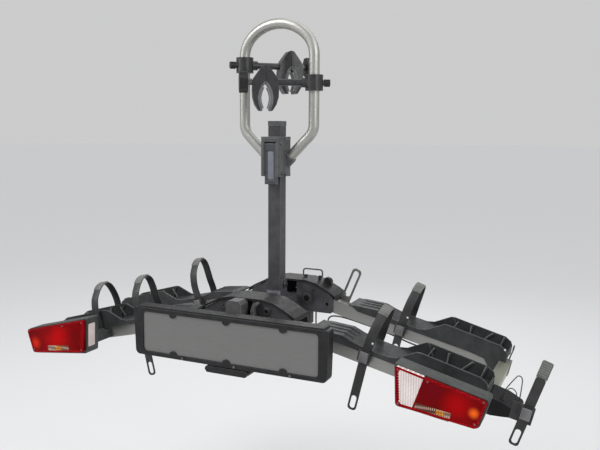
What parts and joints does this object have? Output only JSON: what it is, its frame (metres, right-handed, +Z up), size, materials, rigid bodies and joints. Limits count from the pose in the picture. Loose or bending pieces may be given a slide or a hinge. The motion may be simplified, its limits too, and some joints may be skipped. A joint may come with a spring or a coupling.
{
  "type": "hitch bike rack",
  "caption": "Towball bike rack with a folding two-rail platform, wheel trays and straps, tail lamps, a number plate holder and a mast with a hoop and clamping holders.",
  "frame": {"origin": "centre of the towball socket", "axes": "+X to the right seen from behind, +Y towards the car, +Z up"},
  "size_m": [1.5193, 0.518, 1.0454],
  "materials": {
    "frame_black": "satin",
    "rail_silver": "satin",
    "cross_olive": "satin",
    "tube_steel": "satin",
    "bright_steel": "satin",
    "cast_black": "satin",
    "black_plastic": "matte",
    "lamp_grey": "matte",
    "red_lens": "gloss",
    "clear_lens": "gloss",
    "plate_grey": "satin",
    "pad_rubber": "matte",
    "strap_black": "matte",
    "tip_grey": "matte",
    "buckle_grey": "matte",
    "lever_blue": "satin"
  },
  "bodies": {
    "coupling": {"coupling_housing": "cast_black"},
    "coupling_lever": {"coupling_lever": "frame_black"},
    "platform": {"centre_frame": "frame_black", "pivot_bolts": "bright_steel", "front_hub_cover": "black_plastic", "back_hub_cover": "black_plastic", "plate_holder": "black_plastic", "number_plate_panel": "plate_grey", "plate_screws": "bright_steel", "lock_catch": "lamp_grey"},
    "bail_handle": {"bail_handle": "bright_steel"},
    "tilt_pedal": {"tilt_pedal": "black_plastic"},
    "right_wing": {"right_rails": "rail_silver", "right_trays": "black_plastic", "right_cross_member": "cross_olive", "right_front_rail_end": "black_plastic", "right_lamp_housing": "lamp_grey", "right_lamp_red_lens": "red_lens", "right_lamp_clear_lens": "clear_lens", "right_wheel_straps": "strap_black", "right_strap_tips": "tip_grey", "right_strap_buckles": "strap_black"},
    "left_wing": {"left_rails": "rail_silver", "left_trays": "black_plastic", "left_cross_member": "cross_olive", "left_front_rail_end": "black_plastic", "left_lamp_housing": "lamp_grey", "left_lamp_red_lens": "red_lens", "left_lamp_fog_lens": "red_lens", "left_wheel_straps": "strap_black", "left_strap_tips": "tip_grey", "left_strap_buckles": "strap_black"},
    "right_front_inner_release": {"right_front_inner_release": "buckle_grey"},
    "right_back_inner_release": {"right_back_inner_release": "buckle_grey"},
    "left_front_inner_release": {"left_front_inner_release": "buckle_grey"},
    "left_back_inner_release": {"left_back_inner_release": "buckle_grey"},
    "right_front_outer_release": {"right_front_outer_release": "buckle_grey"},
    "mast": {"mast": "frame_black", "mast_cap": "black_plastic"},
    "hoop_carriage": {"clamp_block": "black_plastic", "hoop": "tube_steel"},
    "clamp_lever": {"clamp_lever": "lever_blue"},
    "front_holder_sleeve": {"front_holder_sleeve": "black_plastic"},
    "front_holder_collar": {"front_holder_collar": "black_plastic", "front_holder_arm": "black_plastic", "front_holder_inner_pad": "pad_rubber"},
    "front_holder_collar_knob": {"front_holder_collar_knob": "black_plastic"},
    "front_holder_jaw": {"front_holder_jaw": "black_plastic", "front_holder_outer_pad": "pad_rubber"},
    "front_holder_neck": {"front_holder_neck": "black_plastic"},
    "front_holder_clamp_knob": {"front_holder_clamp_knob": "black_plastic"},
    "back_holder_sleeve": {"back_holder_sleeve": "black_plastic"},
    "back_holder_collar": {"back_holder_collar": "black_plastic", "back_holder_arm": "black_plastic", "back_holder_inner_pad": "pad_rubber"},
    "back_holder_collar_knob": {"back_holder_collar_knob": "black_plastic"},
    "back_holder_jaw": {"back_holder_jaw": "black_plastic", "back_holder_outer_pad": "pad_rubber"},
    "back_holder_neck": {"back_holder_neck": "black_plastic"},
    "back_holder_clamp_knob": {"back_holder_clamp_knob": "black_plastic"}
  },
  "joints": [
    {"name": "platform_tilt", "type": "hinge", "parent": "coupling", "child": "platform", "pos_m": [0, -0.15, 0.019], "axis": [1, 0, 0], "range_deg": [0, 40]},
    {"name": "coupling_lever_hinge", "type": "hinge", "parent": "coupling", "child": "coupling_lever", "pos_m": [0, -0.08, 0.019], "axis": [1, 0, 0], "range_deg": [0, 60]},
    {"name": "bail_hinge", "type": "hinge", "parent": "platform", "child": "bail_handle", "pos_m": [0.05, -0.018, 0.1485], "axis": [1, 0, 0], "range_deg": [-85, 85]},
    {"name": "pedal_hinge", "type": "hinge", "parent": "platform", "child": "tilt_pedal", "pos_m": [0, -0.245, 0.035], "axis": [1, 0, 0], "range_deg": [0, 5], "stiffness_Nm_per_rad": 6, "springref_deg": -5.73},
    {"name": "right_wing_fold", "type": "hinge", "parent": "platform", "child": "right_wing", "pos_m": [0.05004, -0.17, 0.09326], "axis": [0, 1, 0], "range_deg": [0, 58]},
    {"name": "left_wing_fold", "type": "hinge", "parent": "platform", "child": "left_wing", "pos_m": [-0.05004, -0.17, 0.09326], "axis": [0, -1, 0], "range_deg": [0, 58]},
    {"name": "right_front_inner_release_hinge", "type": "hinge", "parent": "right_wing", "child": "right_front_inner_release", "pos_m": [0.34441, -0.3675, 0.04065], "axis": [-0.9736, 0, 0.2284], "range_deg": [0, 45], "stiffness_Nm_per_rad": 0.05, "springref_deg": -17.19},
    {"name": "right_back_inner_release_hinge", "type": "hinge", "parent": "right_wing", "child": "right_back_inner_release", "pos_m": [0.35219, -0.0815, 0.03883], "axis": [-0.9736, 0, 0.2284], "range_deg": [0, 45], "stiffness_Nm_per_rad": 0.05, "springref_deg": -17.19},
    {"name": "right_front_outer_release_hinge", "type": "hinge", "parent": "right_wing", "child": "right_front_outer_release", "pos_m": [0.74414, -0.3707, -0.03872], "axis": [-0.9736, 0, 0.2284], "range_deg": [0, 45], "stiffness_Nm_per_rad": 0.05, "springref_deg": -17.19},
    {"name": "left_front_inner_release_hinge", "type": "hinge", "parent": "left_wing", "child": "left_front_inner_release", "pos_m": [-0.35025, -0.3675, 0.03928], "axis": [-0.9736, 0, -0.2284], "range_deg": [0, 45], "stiffness_Nm_per_rad": 0.05, "springref_deg": -17.19},
    {"name": "left_back_inner_release_hinge", "type": "hinge", "parent": "left_wing", "child": "left_back_inner_release", "pos_m": [-0.33467, -0.0815, 0.04294], "axis": [-0.9736, 0, -0.2284], "range_deg": [0, 45], "stiffness_Nm_per_rad": 0.05, "springref_deg": -17.19},
    {"name": "mast_fold", "type": "hinge", "parent": "platform", "child": "mast", "pos_m": [0, -0.17, 0.151], "axis": [1, 0, 0], "range_deg": [0, 80]},
    {"name": "hoop_height", "type": "slide", "parent": "mast", "child": "hoop_carriage", "axis": [0, 0, 1], "range_m": [-0.2, 0.015]},
    {"name": "clamp_lever_hinge", "type": "hinge", "parent": "hoop_carriage", "child": "clamp_lever", "pos_m": [0, -0.206, 0.557], "axis": [-1, 0, 0], "range_deg": [0, 90]},
    {"name": "front_holder_height", "type": "slide", "parent": "hoop_carriage", "child": "front_holder_sleeve", "axis": [0, 0, 1], "range_m": [-0.06, 0.05]},
    {"name": "front_holder_swing", "type": "hinge", "parent": "front_holder_sleeve", "child": "front_holder_collar", "pos_m": [0.11, -0.16, 0.73], "axis": [0, 0, 1], "range_deg": [0, 105]},
    {"name": "front_holder_collar_knob_turn", "type": "hinge", "parent": "front_holder_collar", "child": "front_holder_collar_knob", "pos_m": [0.13544, -0.1441, 0.73], "axis": [-0.848, -0.5299, 0], "range_deg": [0, 720]},
    {"name": "front_holder_jaw_hinge", "type": "hinge", "parent": "front_holder_collar", "child": "front_holder_jaw", "pos_m": [-0.00618, -0.2326, 0.77], "axis": [-0.5299, 0.848, 0], "range_deg": [0, 10]},
    {"name": "front_holder_neck_slide", "type": "slide", "parent": "front_holder_collar", "child": "front_holder_neck", "axis": [-0.848, -0.5299, 0], "range_m": [0, 0.0096]},
    {"name": "front_holder_clamp_knob_turn", "type": "hinge", "parent": "front_holder_neck", "child": "front_holder_clamp_knob", "pos_m": [-0.05113, -0.26069, 0.73], "axis": [-0.848, -0.5299, 0], "range_deg": [0, 1720]},
    {"name": "back_holder_height", "type": "slide", "parent": "hoop_carriage", "child": "back_holder_sleeve", "axis": [0, 0, 1], "range_m": [-0.14, 0]},
    {"name": "back_holder_swing", "type": "hinge", "parent": "back_holder_sleeve", "child": "back_holder_collar", "pos_m": [-0.11, -0.16, 0.784], "axis": [0, 0, 1], "range_deg": [-20, 100]},
    {"name": "back_holder_collar_knob_turn", "type": "hinge", "parent": "back_holder_collar", "child": "back_holder_collar_knob", "pos_m": [-0.13194, -0.18046, 0.784], "axis": [0.7314, 0.682, 0], "range_deg": [0, 720]},
    {"name": "back_holder_jaw_hinge", "type": "hinge", "parent": "back_holder_collar", "child": "back_holder_jaw", "pos_m": [-0.0098, -0.06657, 0.824], "axis": [0.682, -0.7314, 0], "range_deg": [0, 10]},
    {"name": "back_holder_neck_slide", "type": "slide", "parent": "back_holder_collar", "child": "back_holder_neck", "axis": [0.7314, 0.682, 0], "range_m": [0, 0.0096]},
    {"name": "back_holder_clamp_knob_turn", "type": "hinge", "parent": "back_holder_neck", "child": "back_holder_clamp_knob", "pos_m": [0.02896, -0.03042, 0.784], "axis": [0.7314, 0.682, 0], "range_deg": [0, 1720]}
  ],
  "couplings": [
    {"joint": "front_holder_neck_slide", "follows": "front_holder_jaw_hinge", "m_per_rad": 0.054431},
    {"joint": "front_holder_clamp_knob_turn", "follows": "front_holder_jaw_hinge", "ratio": 171},
    {"joint": "back_holder_neck_slide", "follows": "back_holder_jaw_hinge", "m_per_rad": 0.054431},
    {"joint": "back_holder_clamp_knob_turn", "follows": "back_holder_jaw_hinge", "ratio": 171}
  ]
}
